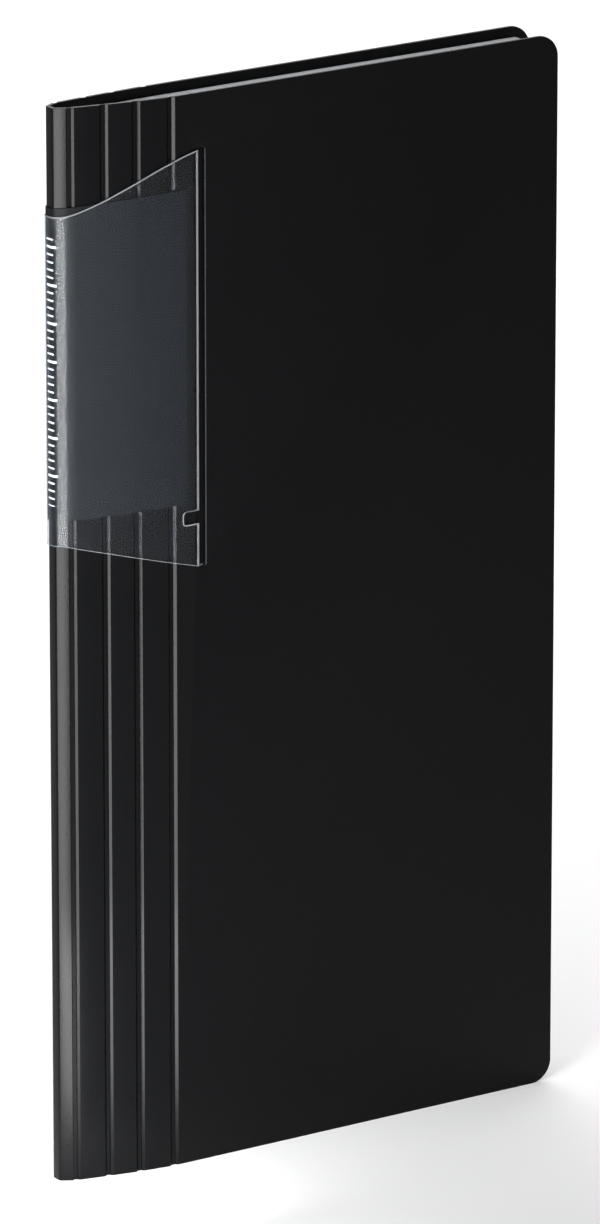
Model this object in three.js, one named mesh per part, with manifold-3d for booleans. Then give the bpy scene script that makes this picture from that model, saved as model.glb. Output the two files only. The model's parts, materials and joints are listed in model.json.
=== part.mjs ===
// Business card album, closed and standing on its lower edge: a black plastic cover folded round fifteen bound
// leaves of clear card pockets, with a clear label sleeve and a dark label card wrapped round the spine.
// Millimetres, +Z up, +X from the spine to the fore edge, +Y from the front cover to the back cover.
// The origin is the middle of the base.
import * as THREE from 'three';
import { mergeVertices } from 'three/addons/utils/BufferGeometryUtils.js';
import Module from 'manifold-3d';

const wasm = await Module();
wasm.setup();

// Cover sheet
const COVER_WIDTH = 150;
const COVER_HEIGHT = 286;
const COVER_SHEET = 1;
const COVER_CORNER_RADIUS = 6;

// Plan of the folded cover: a narrow spine, a slanted facet on each side of it, then three hinge strips
// that slope away from the spine until the cover runs straight. Slopes are in degrees from the +X axis.
const SPINE_WIDTH = 3.2;
const FACET_LENGTH = 3.8;
const FACET_SLOPE_DEG = 32;
const STRIP_1_LENGTH = 9.3;
const STRIP_2_LENGTH = 8.7;
const STRIP_3_LENGTH = 9.8;
const FRONT_STRIP_SLOPES_DEG = [12.1, 11.4, 7.2];
const BACK_STRIP_SLOPES_DEG = [4.4, 3.6, 2.4];

// Pressed crease between two panels: a groove on the outside that leaves a thin web at the inside face.
// Each panel keeps its own half of the web, and the fold line runs through the narrow split between them.
const CREASE_WIDTH = 2.1;
const CREASE_FLOOR = 0.8;
const CREASE_WEB = 0.35;
const CREASE_SPLIT = 0.3;

// Clear label sleeve round the spine. Its two ends pass through a slit in each cover and are tucked behind it.
const SLEEVE_FILM = 0.15;
const SLEEVE_GAP = 0.55;
const SLEEVE_CENTRE_BELOW_TOP = 71.7;
const SLEEVE_SPINE_HEIGHT = 88;
const SLEEVE_SLIT_HEIGHT = 112.4;
const SLEEVE_FLARE_START = 5;
const SLEEVE_TUCK = 8;
const SLEEVE_TUCK_GAP = 0.15;
const NOTCH_WIDTH = 4.8;
const NOTCH_HEIGHT = 2.4;
const NOTCH_BELOW_TOP = 114.3;

// Slit that the sleeve passes through, measured from the last crease
const SLIT_WIDTH = 1.65;
const SLIT_FROM_CREASE = 8.7;
const SLIT_END_ROOM = 1;
const SLIT_SIDE_ROOM = 0.4;

// Label card behind the sleeve
const CARD_THICKNESS = 0.25;
const CARD_GAP = 0.15;
const CARD_HEIGHT = 84;
const CARD_BELOW_TOP = 26;
const CARD_PAST_CREASE = 4.5;

// Leaves: each is a base sheet with a film of welded pockets on both faces
const LEAF_COUNT = 15;
const LEAF_SHEET = 0.2;
const LEAF_END_MARGIN = 2.7;
const LEAF_FORE_MARGIN = 5;
const LEAF_COVER_GAP = 0.5;
const LEAF_BEND_STEPS = 8;
const POCKET_COLUMNS = 2;
const POCKET_ROWS = 3;
const POCKET_FILM = 0.1;
const POCKET_DEPTH = 0.08;
const POCKET_MOUTH = 1.2;
const WELD_WIDTH = 1.2;
const WELD_GAP = 0.02;
const FILM_EDGE = 0.5;

// Binding strip that the leaves are welded to. The roots of the leaves step out towards the middle of the
// stack, so that leaves turned down to either cover still lie clear of each other.
const BINDING_GAP = 0.3;
const ROOT_GAP = 0.3;
const ROOT_COVER_GAP = 0.45;
const OUTER_ROOT_X = 4.6;
const ROOT_STEP = 0.3;

const ARC_STEPS = 6;
const FRONT = -1;
const BACK = 1;
const SQUARE_DEG = 90;

const materials = {
  cover: new THREE.MeshStandardMaterial({ color: 0x17181a, roughness: 0.55, metalness: 0 }),
  binding: new THREE.MeshStandardMaterial({ color: 0x2a2b2e, roughness: 0.6, metalness: 0 }),
  card: new THREE.MeshStandardMaterial({ color: 0x20242c, roughness: 0.8, metalness: 0 }),
  sleeve: clearFilm(0xdfe6ea, 0.35),
  sheet: new THREE.MeshStandardMaterial({ color: 0xc9ccd0, roughness: 0.5, metalness: 0 }),
  pocket: clearFilm(0xe4eaee, 0.4),
};

function clearFilm(color, opacity) {
  return new THREE.MeshStandardMaterial({ color, opacity, transparent: true, roughness: 0.2, metalness: 0 });
}

// Directions of a panel in plan, from its slope and the side of the album it is on
function heading(slope, side) {
  const angle = THREE.MathUtils.degToRad(slope);
  return new THREE.Vector2(Math.cos(angle), side * Math.sin(angle));
}

function inward(slope, side) {
  const angle = THREE.MathUtils.degToRad(slope);
  return new THREE.Vector2(Math.sin(angle), -side * Math.cos(angle));
}

// One side of the cover in plan. Corners lie on its outside face, and line(depth) is the same line moved
// inwards by depth, or outwards where depth is negative. Panel i runs from corner i to corner i + 1.
function planOfSide(side, stripSlopes) {
  const slopes = [SQUARE_DEG, FACET_SLOPE_DEG, ...stripSlopes, 0];
  const corners = [new THREE.Vector2(0, (side * SPINE_WIDTH) / 2)];
  [FACET_LENGTH, STRIP_1_LENGTH, STRIP_2_LENGTH, STRIP_3_LENGTH].forEach((length, i) => {
    corners.push(corners[i].clone().addScaledVector(heading(slopes[i + 1], side), length));
  });
  const line = (depth) => corners.map((corner, i) => {
    const before = inward(slopes[i], side);
    const after = inward(slopes[i + 1], side);
    const step = depth / (1 + before.dot(after));
    return corner.clone().addScaledVector(before.add(after), step);
  });
  const lastCorner = corners[corners.length - 1];
  return { side, slopes, line, hinges: line(COVER_SHEET), lastCorner, slitX: lastCorner.x + SLIT_FROM_CREASE };
}

// Place across the album of a side's line at a given depth and distance from the spine
function acrossAt(plan, depth, x) {
  const points = plan.line(depth);
  const next = points.findIndex((point) => point.x > x);
  if (next < 0) return points[points.length - 1].y;
  const slope = THREE.MathUtils.degToRad(plan.slopes[next]);
  return points[next].y + plan.side * (x - points[next].x) * Math.tan(slope);
}

// Extrusions: a plan section raised along Z, and a front view outline drawn out along Y
function raise(section, height, base = 0) {
  const shape = new THREE.Shape(section);
  return new THREE.ExtrudeGeometry(shape, { depth: height, bevelEnabled: false }).translate(0, 0, base);
}

function drawAcross(outline, fromY, toY) {
  const settings = { depth: toY - fromY, bevelEnabled: false, curveSegments: ARC_STEPS };
  return new THREE.ExtrudeGeometry(outline, settings).rotateX(Math.PI / 2).translate(0, toY, 0);
}

function block(low, high) {
  const size = new THREE.Vector3().subVectors(high, low);
  const centre = new THREE.Vector3().addVectors(low, high).multiplyScalar(0.5);
  return new THREE.BoxGeometry(size.x, size.y, size.z).translate(centre.x, centre.y, centre.z);
}

// Solids for cutting, and back to a geometry
function solid(geometry) {
  const bare = geometry.clone();
  bare.deleteAttribute('normal');
  bare.deleteAttribute('uv');
  const merged = mergeVertices(bare);
  return new wasm.Manifold(new wasm.Mesh({
    numProp: 3,
    vertProperties: merged.attributes.position.array,
    triVerts: Uint32Array.from(merged.index.array),
  }));
}

function geometryOf(body) {
  const mesh = body.getMesh();
  const geometry = new THREE.BufferGeometry();
  geometry.setAttribute('position', new THREE.BufferAttribute(mesh.vertProperties, 3));
  geometry.setIndex(new THREE.BufferAttribute(mesh.triVerts, 1));
  geometry.computeVertexNormals();
  return geometry;
}

const album = new THREE.Group();

function addPiece(name, geometry, material) {
  const piece = new THREE.Mesh(geometry, material);
  piece.name = name;
  album.add(piece);
}

const front = planOfSide(FRONT, FRONT_STRIP_SLOPES_DEG);
const back = planOfSide(BACK, BACK_STRIP_SLOPES_DEG);

// Panel ends in section, as [distance from the fold line, height above the inside face]
const squareEnd = [[CREASE_SPLIT / 2, 0], [CREASE_SPLIT / 2, COVER_SHEET]];
const creaseEnd = [
  [CREASE_SPLIT / 2, 0],
  [CREASE_SPLIT / 2, CREASE_WEB],
  [CREASE_FLOOR / 2, CREASE_WEB],
  [CREASE_WIDTH / 2, COVER_SHEET],
];
const foreEnd = [[0, 0], [0, COVER_SHEET]];

// Section of a panel between two fold lines on its inside face. Its outside is on the left of the way from
// start to end where turn is -1, and on the right where it is 1.
function panelSection(start, end, turn, startProfile, endProfile) {
  const length = start.distanceTo(end);
  const along = new THREE.Vector2().subVectors(end, start).normalize();
  const outward = new THREE.Vector2(along.y, -along.x).multiplyScalar(turn);
  const place = (distance, height) => start.clone()
    .addScaledVector(along, distance)
    .addScaledVector(outward, height);
  return [
    ...startProfile.map(([distance, height]) => place(distance, height)),
    ...endProfile.map(([distance, height]) => place(length - distance, height)).reverse(),
  ];
}

// Spine face, a plain strip between the two facets
function makeSpineFace() {
  const section = panelSection(front.hinges[0], back.hinges[0], -1, squareEnd, squareEnd);
  addPiece('spine_face', raise(section, COVER_HEIGHT), materials.cover);
}

// Facet and hinge strips of one side
function makeStrips(plan, sideName) {
  const last = plan.hinges.length - 1;
  for (let i = 0; i < last; i += 1) {
    const startProfile = i === 0 ? squareEnd : creaseEnd;
    const section = panelSection(plan.hinges[i], plan.hinges[i + 1], -plan.side, startProfile, creaseEnd);
    const name = i === 0 ? `${sideName}_facet` : `${sideName}_strip_${i}`;
    addPiece(name, raise(section, COVER_HEIGHT), materials.cover);
  }
}

// Outline of the cover with its two fore corners rounded
function coverOutline() {
  const right = COVER_WIDTH - COVER_CORNER_RADIUS;
  const top = COVER_HEIGHT - COVER_CORNER_RADIUS;
  const outline = new THREE.Shape();
  outline.moveTo(0, 0);
  outline.lineTo(right, 0);
  outline.absarc(right, COVER_CORNER_RADIUS, COVER_CORNER_RADIUS, -Math.PI / 2, 0, false);
  outline.absarc(right, top, COVER_CORNER_RADIUS, 0, Math.PI / 2, false);
  outline.lineTo(0, COVER_HEIGHT);
  return outline;
}

// Slit with round ends for the label sleeve
function slitOutline(centreX) {
  const radius = SLIT_WIDTH / 2;
  const middle = COVER_HEIGHT - SLEEVE_CENTRE_BELOW_TOP;
  const halfRun = SLEEVE_SLIT_HEIGHT / 2 + SLIT_END_ROOM - radius;
  const outline = new THREE.Shape();
  outline.absarc(centreX, middle + halfRun, radius, 0, Math.PI, false);
  outline.absarc(centreX, middle - halfRun, radius, Math.PI, 2 * Math.PI, false);
  return outline;
}

// Cover panel from the last crease to the fore edge
function makeCover(plan, sideName) {
  const start = plan.hinges[plan.hinges.length - 1];
  const end = new THREE.Vector2(COVER_WIDTH, start.y);
  const section = panelSection(start, end, -plan.side, creaseEnd, foreEnd);
  const outerY = plan.lastCorner.y;
  const lowY = Math.min(start.y, outerY) - COVER_SHEET;
  const highY = Math.max(start.y, outerY) + COVER_SHEET;
  const panel = solid(raise(section, COVER_HEIGHT))
    .intersect(solid(drawAcross(coverOutline(), lowY, highY)))
    .subtract(solid(drawAcross(slitOutline(plan.slitX), lowY, highY)));
  addPiece(`${sideName}_cover`, geometryOf(panel), materials.cover);
}

// A path moved to its left by an offset, with mitred bends
function offsetPath(path, offset) {
  return path.map((point, i) => {
    const before = i > 0 ? point.clone().sub(path[i - 1]).normalize() : null;
    const after = i < path.length - 1 ? path[i + 1].clone().sub(point).normalize() : null;
    const first = before ?? after;
    const second = after ?? before;
    const normals = new THREE.Vector2(-first.y - second.y, first.x + second.x);
    return point.clone().addScaledVector(normals, offset / (1 + first.dot(second)));
  });
}

// Plan section of a thin sheet that follows a path, with square ends
function ribbon(path, thickness) {
  return [...offsetPath(path, thickness / 2), ...offsetPath(path, -thickness / 2).reverse()];
}

// Path round the outside of the spine at a distance from the cover, from one side's end to the other's
function wrapPath(distance, frontEnd, backEnd) {
  return [...frontEnd, ...front.line(-distance).reverse(), ...back.line(-distance), ...backEnd.reverse()];
}

// Label card: dark card that covers the spine and the strips on both sides
function makeLabelCard() {
  const distance = CARD_GAP + CARD_THICKNESS / 2;
  const edge = (plan) => [
    new THREE.Vector2(plan.lastCorner.x + CARD_PAST_CREASE, plan.lastCorner.y + plan.side * distance),
  ];
  const section = ribbon(wrapPath(distance, edge(front), edge(back)), CARD_THICKNESS);
  const base = COVER_HEIGHT - CARD_BELOW_TOP - CARD_HEIGHT;
  addPiece('label_card', raise(section, CARD_HEIGHT, base), materials.card);
}

// Front view of the sleeve film, lower at the spine than at its two slits
function sleeveOutline(leftX, slitX, rightX) {
  const middle = COVER_HEIGHT - SLEEVE_CENTRE_BELOW_TOP;
  const spineHalf = SLEEVE_SPINE_HEIGHT / 2;
  const slitHalf = SLEEVE_SLIT_HEIGHT / 2;
  const upper = [[leftX, spineHalf], [SLEEVE_FLARE_START, spineHalf], [slitX, slitHalf], [rightX, slitHalf]];
  const lower = upper.map(([x, half]) => [x, -half]).reverse();
  return new THREE.Shape([...upper, ...lower].map(([x, half]) => new THREE.Vector2(x, middle + half)));
}

// Label sleeve: clear film round the card, through both slits and tucked behind the covers, with a finger
// notch near its lower corner
function makeLabelSleeve() {
  const distance = SLEEVE_GAP + SLEEVE_FILM / 2;
  const passX = (plan) => plan.slitX - SLIT_WIDTH / 2 + SLIT_SIDE_ROOM;
  const end = (plan) => {
    const x = passX(plan);
    const outsideY = plan.lastCorner.y + plan.side * distance;
    const insideY = plan.lastCorner.y - plan.side * (COVER_SHEET + SLEEVE_TUCK_GAP + SLEEVE_FILM / 2);
    return [
      new THREE.Vector2(x + SLEEVE_TUCK, insideY),
      new THREE.Vector2(x, insideY),
      new THREE.Vector2(x, outsideY),
    ];
  };
  const section = ribbon(wrapPath(distance, end(front), end(back)), SLEEVE_FILM);
  const reach = 2 * distance;
  const lowY = front.lastCorner.y - reach;
  const highY = back.lastCorner.y + reach;
  const slitX = Math.min(passX(front), passX(back));
  const outline = sleeveOutline(-reach, slitX, slitX + 2 * SLEEVE_TUCK);
  const notchMiddle = COVER_HEIGHT - NOTCH_BELOW_TOP;
  const notch = (plan) => {
    const near = plan.lastCorner.y;
    const far = near + plan.side * reach;
    const low = new THREE.Vector3(passX(plan) - NOTCH_WIDTH, Math.min(near, far), notchMiddle - NOTCH_HEIGHT / 2);
    const high = new THREE.Vector3(passX(plan) + SLEEVE_FILM, Math.max(near, far), notchMiddle + NOTCH_HEIGHT / 2);
    return solid(block(low, high));
  };
  const film = solid(raise(section, COVER_HEIGHT))
    .intersect(solid(drawAcross(outline, lowY, highY)))
    .subtract(notch(front))
    .subtract(notch(back));
  addPiece('label_sleeve', geometryOf(film), materials.sleeve);
}

// Root of a leaf, the fold line where it leaves the binding strip, by its place in the stack from the front
const lastPlace = LEAF_COUNT - 1;
function rootAt(place) {
  const fromMiddle = Math.abs(place - lastPlace / 2);
  const frontY = acrossAt(front, COVER_SHEET + ROOT_COVER_GAP, OUTER_ROOT_X);
  const backY = acrossAt(back, COVER_SHEET + ROOT_COVER_GAP, OUTER_ROOT_X);
  return new THREE.Vector2(
    OUTER_ROOT_X + ROOT_STEP * (lastPlace / 2 - fromMiddle),
    THREE.MathUtils.lerp(frontY, backY, place / lastPlace),
  );
}

const leafHeight = COVER_HEIGHT - 2 * LEAF_END_MARGIN;
const leafEndX = COVER_WIDTH - LEAF_FORE_MARGIN;
const bendEndX = Math.max(front.lastCorner.x, back.lastCorner.x);
const pocketsStartX = bendEndX + FILM_EDGE;
const pocketsEndX = leafEndX - FILM_EDGE;
const columnWidth = (pocketsEndX - pocketsStartX) / POCKET_COLUMNS;
const halfLeaf = LEAF_SHEET / 2 + WELD_GAP + POCKET_DEPTH + POCKET_FILM;

// Binding strip: it fills the spine channel and carries every leaf on its ridged face
function makeBindingStrip() {
  const frontLine = front.line(COVER_SHEET + BINDING_GAP);
  const backLine = back.line(COVER_SHEET + BINDING_GAP);
  const face = offsetPath([rootAt(0), rootAt(lastPlace / 2), rootAt(lastPlace)], ROOT_GAP);
  const section = [...backLine.slice(0, 2).reverse(), ...frontLine.slice(0, 2), ...face];
  addPiece('binding_strip', raise(section, leafHeight, LEAF_END_MARGIN), materials.binding);
}

// Film of welded pockets on one face of a leaf: recesses towards the base sheet, each with a mouth at its top
function pocketFilm(faceY, side) {
  const outerY = faceY + side * (WELD_GAP + POCKET_DEPTH + POCKET_FILM);
  const recessY = faceY + side * (WELD_GAP + POCKET_DEPTH);
  const weldY = faceY + side * WELD_GAP;
  const between = (x0, x1, y0, y1, z0, z1) => solid(block(
    new THREE.Vector3(x0, Math.min(y0, y1), z0),
    new THREE.Vector3(x1, Math.max(y0, y1), z1),
  ));
  const baseZ = LEAF_END_MARGIN;
  const rowHeight = leafHeight / POCKET_ROWS;
  let film = between(pocketsStartX, pocketsEndX, weldY, outerY, baseZ, baseZ + leafHeight);
  for (let column = 0; column < POCKET_COLUMNS; column += 1) {
    const left = pocketsStartX + column * columnWidth + WELD_WIDTH / 2;
    const right = left + columnWidth - WELD_WIDTH;
    for (let row = 0; row < POCKET_ROWS; row += 1) {
      const bottom = baseZ + row * rowHeight + WELD_WIDTH / 2;
      const top = baseZ + (row + 1) * rowHeight - WELD_WIDTH / 2;
      const clear = faceY - side * POCKET_FILM;
      const past = outerY + side * POCKET_FILM;
      film = film.subtract(between(left, right, clear, recessY, bottom, top));
      film = film.subtract(between(left, right, clear, past, top - POCKET_MOUTH, top));
    }
  }
  return geometryOf(film);
}

// One leaf: its base sheet bends from its root to its place in the stack, and the films lie on the flat part
function makeLeaf(number, root, leafY) {
  const bend = Array.from({ length: LEAF_BEND_STEPS + 1 }, (_, step) => {
    const share = step / LEAF_BEND_STEPS;
    const x = THREE.MathUtils.lerp(root.x, bendEndX, share);
    return new THREE.Vector2(x, THREE.MathUtils.lerp(root.y, leafY, THREE.MathUtils.smoothstep(share, 0, 1)));
  });
  const section = ribbon([...bend, new THREE.Vector2(leafEndX, leafY)], LEAF_SHEET);
  const name = `leaf_${String(number).padStart(2, '0')}`;
  addPiece(`${name}_sheet`, raise(section, leafHeight, LEAF_END_MARGIN), materials.sheet);
  addPiece(`${name}_front_pockets`, pocketFilm(leafY - LEAF_SHEET / 2, FRONT), materials.pocket);
  addPiece(`${name}_back_pockets`, pocketFilm(leafY + LEAF_SHEET / 2, BACK), materials.pocket);
}

// All leaves, counted from the front cover
function makeLeaves() {
  const frontY = front.hinges[front.hinges.length - 1].y + LEAF_COVER_GAP + halfLeaf;
  const backY = back.hinges[back.hinges.length - 1].y - LEAF_COVER_GAP - halfLeaf;
  for (let i = 0; i < LEAF_COUNT; i += 1) {
    makeLeaf(i + 1, rootAt(i), THREE.MathUtils.lerp(frontY, backY, i / lastPlace));
  }
}

makeSpineFace();
for (const [plan, sideName] of [[front, 'front'], [back, 'back']]) {
  makeStrips(plan, sideName);
  makeCover(plan, sideName);
}
makeBindingStrip();
makeLabelCard();
makeLabelSleeve();
makeLeaves();

// The sleeve stands proud of the cover all round, so it sets the middle of the base
const proud = SLEEVE_GAP + SLEEVE_FILM;
album.position.set(
  -(COVER_WIDTH - proud) / 2,
  -(front.lastCorner.y + back.lastCorner.y) / 2,
  0,
);

export default album;
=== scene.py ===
# Business card album: a folded black plastic cover with pressed creases, a dark label card under a clear
# sleeve on its spine, and bound leaves of clear card pockets. Metres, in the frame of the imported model:
# +Z up, the spine towards -X, the front cover towards -Y.
import json
import math

import bpy
from mathutils import Matrix, Vector

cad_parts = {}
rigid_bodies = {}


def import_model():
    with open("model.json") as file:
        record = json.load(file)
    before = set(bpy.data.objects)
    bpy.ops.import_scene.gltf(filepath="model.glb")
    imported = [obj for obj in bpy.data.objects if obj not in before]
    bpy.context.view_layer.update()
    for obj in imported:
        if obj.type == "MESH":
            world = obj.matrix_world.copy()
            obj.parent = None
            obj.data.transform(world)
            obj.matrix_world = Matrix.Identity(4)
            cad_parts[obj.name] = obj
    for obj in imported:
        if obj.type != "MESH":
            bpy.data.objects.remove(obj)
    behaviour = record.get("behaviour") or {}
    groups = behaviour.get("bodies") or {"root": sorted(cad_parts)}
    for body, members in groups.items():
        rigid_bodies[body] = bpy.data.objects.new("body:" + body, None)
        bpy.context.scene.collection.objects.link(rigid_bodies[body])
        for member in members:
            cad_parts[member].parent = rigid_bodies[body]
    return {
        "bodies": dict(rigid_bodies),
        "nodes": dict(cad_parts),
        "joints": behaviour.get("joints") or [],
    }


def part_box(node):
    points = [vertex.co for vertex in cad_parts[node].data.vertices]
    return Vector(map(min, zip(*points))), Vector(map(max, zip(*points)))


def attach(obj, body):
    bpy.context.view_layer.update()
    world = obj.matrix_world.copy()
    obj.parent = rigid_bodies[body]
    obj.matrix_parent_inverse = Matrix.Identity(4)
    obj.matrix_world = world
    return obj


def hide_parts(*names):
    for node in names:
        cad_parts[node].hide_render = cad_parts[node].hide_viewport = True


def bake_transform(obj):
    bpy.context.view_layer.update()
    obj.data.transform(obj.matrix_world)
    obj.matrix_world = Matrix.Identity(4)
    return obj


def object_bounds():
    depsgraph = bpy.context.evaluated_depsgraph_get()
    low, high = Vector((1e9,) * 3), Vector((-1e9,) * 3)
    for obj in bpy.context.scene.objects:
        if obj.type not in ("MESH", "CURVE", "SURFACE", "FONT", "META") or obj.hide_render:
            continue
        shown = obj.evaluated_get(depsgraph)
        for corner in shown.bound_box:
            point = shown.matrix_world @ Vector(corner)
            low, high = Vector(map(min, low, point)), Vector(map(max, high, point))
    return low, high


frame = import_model()
packed_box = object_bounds()
MM = 0.001

# Camera: a long lens in front of the spine's left side and a little above, as the album was photographed.
# It looks down on the top edges and sees the front cover, the creases and the narrow spine face.
CAMERA_PLACE = (-1415.9 * MM, -2121.4 * MM, 930.7 * MM)
CAMERA_HEADING = math.radians(33.72)
CAMERA_DIP = math.radians(17.2)
CAMERA_LENS = 303.9
CAMERA_SEES_TO = 20

bpy.ops.object.camera_add(location=CAMERA_PLACE, rotation=(math.pi / 2 - CAMERA_DIP, 0, -CAMERA_HEADING))
camera = bpy.context.object
camera.data.lens = CAMERA_LENS
camera.data.clip_end = CAMERA_SEES_TO
bpy.context.scene.camera = camera
bpy.context.scene.view_settings.view_transform = "Standard"

# Studio: a wide pale floor of smooth card, and soft lamps. The key and the weaker fade lamp beside it stand
# low where the slanted facet looks, and the foot lamp lights its lowest part. Two faint lamps stand above and
# at the spine's side, and the strongest hangs over the floor behind the album.
FLOOR_SIZE = 14.0
FLOOR_COLOUR = (0.78, 0.78, 0.785, 1)
FLOOR_ROUGHNESS = 0.8
FLOOR_SPECULAR = 0.1
FLOOR_FIBRE = {"Scale": 900, "Detail": 2.0}
FLOOR_FIBRE_BUMP = {"Strength": 0.05, "Distance": 0.2 * MM}
FLOOR_GLOW = 0.2
WORLD_FILL = (0.28, 0.28, 0.285, 1)
WORLD_SEEN = (0.45, 0.45, 0.455, 1)
GRID_SPREAD = math.radians(110)


def new_material(name):
    """A node material with its Principled shader."""
    material = bpy.data.materials.new(name)
    material.use_nodes = True
    return material, material.node_tree, material.node_tree.nodes["Principled BSDF"]


def node(tree, kind, **settings):
    """A node with its settings, and its inputs where the name is that of a socket."""
    made = tree.nodes.new(kind)
    for name, value in settings.items():
        if hasattr(made, name):
            setattr(made, name, value)
        else:
            made.inputs[name.replace("_", " ")].default_value = value
    return made


def soft_lamp(name, place, aim, size, power, spread=math.pi):
    """A soft area lamp that faces a point. A smaller spread is a grid on it, which keeps it off the floor."""
    bpy.ops.object.light_add(type="AREA", location=place)
    lamp = bpy.context.object
    lamp.name = name
    lamp.rotation_euler = (Vector(aim) - Vector(place)).to_track_quat("-Z", "Y").to_euler()
    lamp.data.shape = "RECTANGLE"
    lamp.data.size, lamp.data.size_y = size
    lamp.data.energy = power
    lamp.data.spread = spread
    lamp.visible_camera = False


soft_lamp(
    "key_lamp", place=(-0.170, -0.146, 0.165), aim=(-0.072, 0, 0.165), size=(0.07, 0.33), power=0.63,
    spread=GRID_SPREAD,
)
soft_lamp(
    "fade_lamp", place=(-0.103, -0.174, 0.165), aim=(-0.072, 0, 0.165), size=(0.075, 0.33), power=0.05,
    spread=GRID_SPREAD,
)
soft_lamp("foot_lamp", place=(-0.095, -0.055, 0.024), aim=(-0.095, 0, 0.024), size=(0.044, 0.047), power=0.13)
soft_lamp("top_lamp", place=(0.0, 0.0, 0.50), aim=(0.0, 0.0, 0.0), size=(0.10, 0.30), power=0.4)
soft_lamp("side_lamp", place=(-0.60, -0.10, 0.35), aim=(-0.07, 0, 0.14), size=(0.5, 0.5), power=1.2)
soft_lamp("floor_lamp", place=(0.45, 0.80, 0.80), aim=(0.45, 0.75, 0), size=(0.9, 1.3), power=11)


def background_rays(tree):
    """1 for the rays that show the background: to the camera, in a reflection or through clear plastic."""
    path = node(tree, "ShaderNodeLightPath")
    seen = node(tree, "ShaderNodeMath", operation="MAXIMUM")
    seen_through = node(tree, "ShaderNodeMath", operation="MAXIMUM")
    tree.links.new(path.outputs["Is Camera Ray"], seen.inputs[0])
    tree.links.new(path.outputs["Is Glossy Ray"], seen.inputs[1])
    tree.links.new(seen.outputs[0], seen_through.inputs[0])
    tree.links.new(path.outputs["Is Transmission Ray"], seen_through.inputs[1])
    return seen_through.outputs[0]


world = bpy.data.worlds.new("studio")
world.use_nodes = True
bpy.context.scene.world = world
sky = world.node_tree
sky_colour = node(sky, "ShaderNodeMix", data_type="RGBA")
sky_colour.inputs[6].default_value = WORLD_FILL
sky_colour.inputs[7].default_value = WORLD_SEEN
sky.links.new(background_rays(sky), sky_colour.inputs[0])
sky.links.new(sky_colour.outputs[2], sky.nodes["Background"].inputs["Color"])

floor_card, tree, shader = new_material("floor_card")
shader.inputs["Base Color"].default_value = FLOOR_COLOUR
shader.inputs["Roughness"].default_value = FLOOR_ROUGHNESS
shader.inputs["Specular IOR Level"].default_value = FLOOR_SPECULAR
where = node(tree, "ShaderNodeTexCoord")
fibre = node(tree, "ShaderNodeTexNoise", **FLOOR_FIBRE)
fibre_bump = node(tree, "ShaderNodeBump", **FLOOR_FIBRE_BUMP)
tree.links.new(where.outputs["Object"], fibre.inputs["Vector"])
tree.links.new(fibre.outputs["Fac"], fibre_bump.inputs["Height"])
tree.links.new(fibre_bump.outputs["Normal"], shader.inputs["Normal"])
floor_glow = node(tree, "ShaderNodeMath", operation="MULTIPLY")
floor_glow.inputs[1].default_value = FLOOR_GLOW
tree.links.new(background_rays(tree), floor_glow.inputs[0])
tree.links.new(floor_glow.outputs[0], shader.inputs["Emission Strength"])
shader.inputs["Emission Color"].default_value = (1, 1, 1, 1)
bpy.ops.mesh.primitive_plane_add(size=FLOOR_SIZE, location=(0, 0, 0))
floor = bpy.context.object
floor.name = "floor"
floor.data.materials.append(floor_card)

# Cover panels: one die-cut sheet of matte black polypropylene, 1 mm thick, folded round the leaves. The spine
# face and the slanted facets are creased sharply, and pressed creases make three hinge strips a side. Each
# piece here runs between two creases, and its ends are the sloped walls of the pressed grooves.
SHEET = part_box("front_cover")[1].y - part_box("front_cover")[0].y
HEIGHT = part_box("spine_face")[1].z
WEB_REACH = {"before": 0.03 * MM, "after": 0.8 * MM}
GROOVE_CHAMFER = 0.75 * MM
LIT_WALL_HEADING = math.radians(37)
FACET_CHAMFER = 0.18 * MM
EDGE_ROUNDING = 0.12 * MM
SPINE_CORNER_ROUNDING = 0.35 * MM
FORE_CORNER_RADIUS = 6.0 * MM
ROUNDED_FROM = math.radians(40)
CRISP_FROM = math.radians(35)
COVER_CRISP_FROM = math.radians(15)
LEVEL_FACE = 0.9
SLIT_WIDTH = 2.5 * MM
SLIT_RUN = 110.4 * MM
SLIT_FROM_CREASE = 9.15 * MM
SLIT_MIDDLE = HEIGHT - 69.6 * MM
SLIT_RIM = 0.6 * MM
SLIT_END_ROUNDING = 0.7 * MM
SLIT_CUT_DEPTH = 6 * SHEET
SIDES = {"front": -1, "back": 1}
STRIPS = (1, 2, 3)
CREASES = (1, 2, 3, 4)

# A corner that is within a hair of a place is taken to be there, and a bend below STRAIGHT is none
HAIR = 0.02 * MM
STRAIGHT = 1e-6


def heading(a, b):
    """Direction in plan from one place to another."""
    return (b - a).normalized()


def outward(direction, side):
    """Direction square to a panel in plan, away from the leaves."""
    return Vector((-direction.y, direction.x)) * SIDES[side]


def angle_between(a, b):
    """Angle in plan from one direction to another."""
    return math.atan2(a.x * b.y - a.y * b.x, a.dot(b))


# In plan, each side has a fold at every crease, on the cover's inner face. A fold lies between the panel of
# its own number and the next one: the spine is panel 0, and the cover is the last.
joint_place = {joint["name"]: Vector(joint["pos_m"][:2]) for joint in frame["joints"]}
crease_names = {side: [f"{side}_spine_crease", *(f"{side}_crease_{i}" for i in CREASES)] for side in SIDES}
folds = {side: [joint_place[name] for name in crease_names[side]] for side in SIDES}
middle_of_spine = (folds["front"][0] + folds["back"][0]) / 2
ways = {side: [heading(a, b) for a, b in zip([middle_of_spine, *folds[side]], folds[side])] for side in SIDES}
for side in SIDES:
    ways[side].append(Vector((1, 0)))
outs = {side: [outward(way, side) for way in ways[side]] for side in SIDES}


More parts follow.
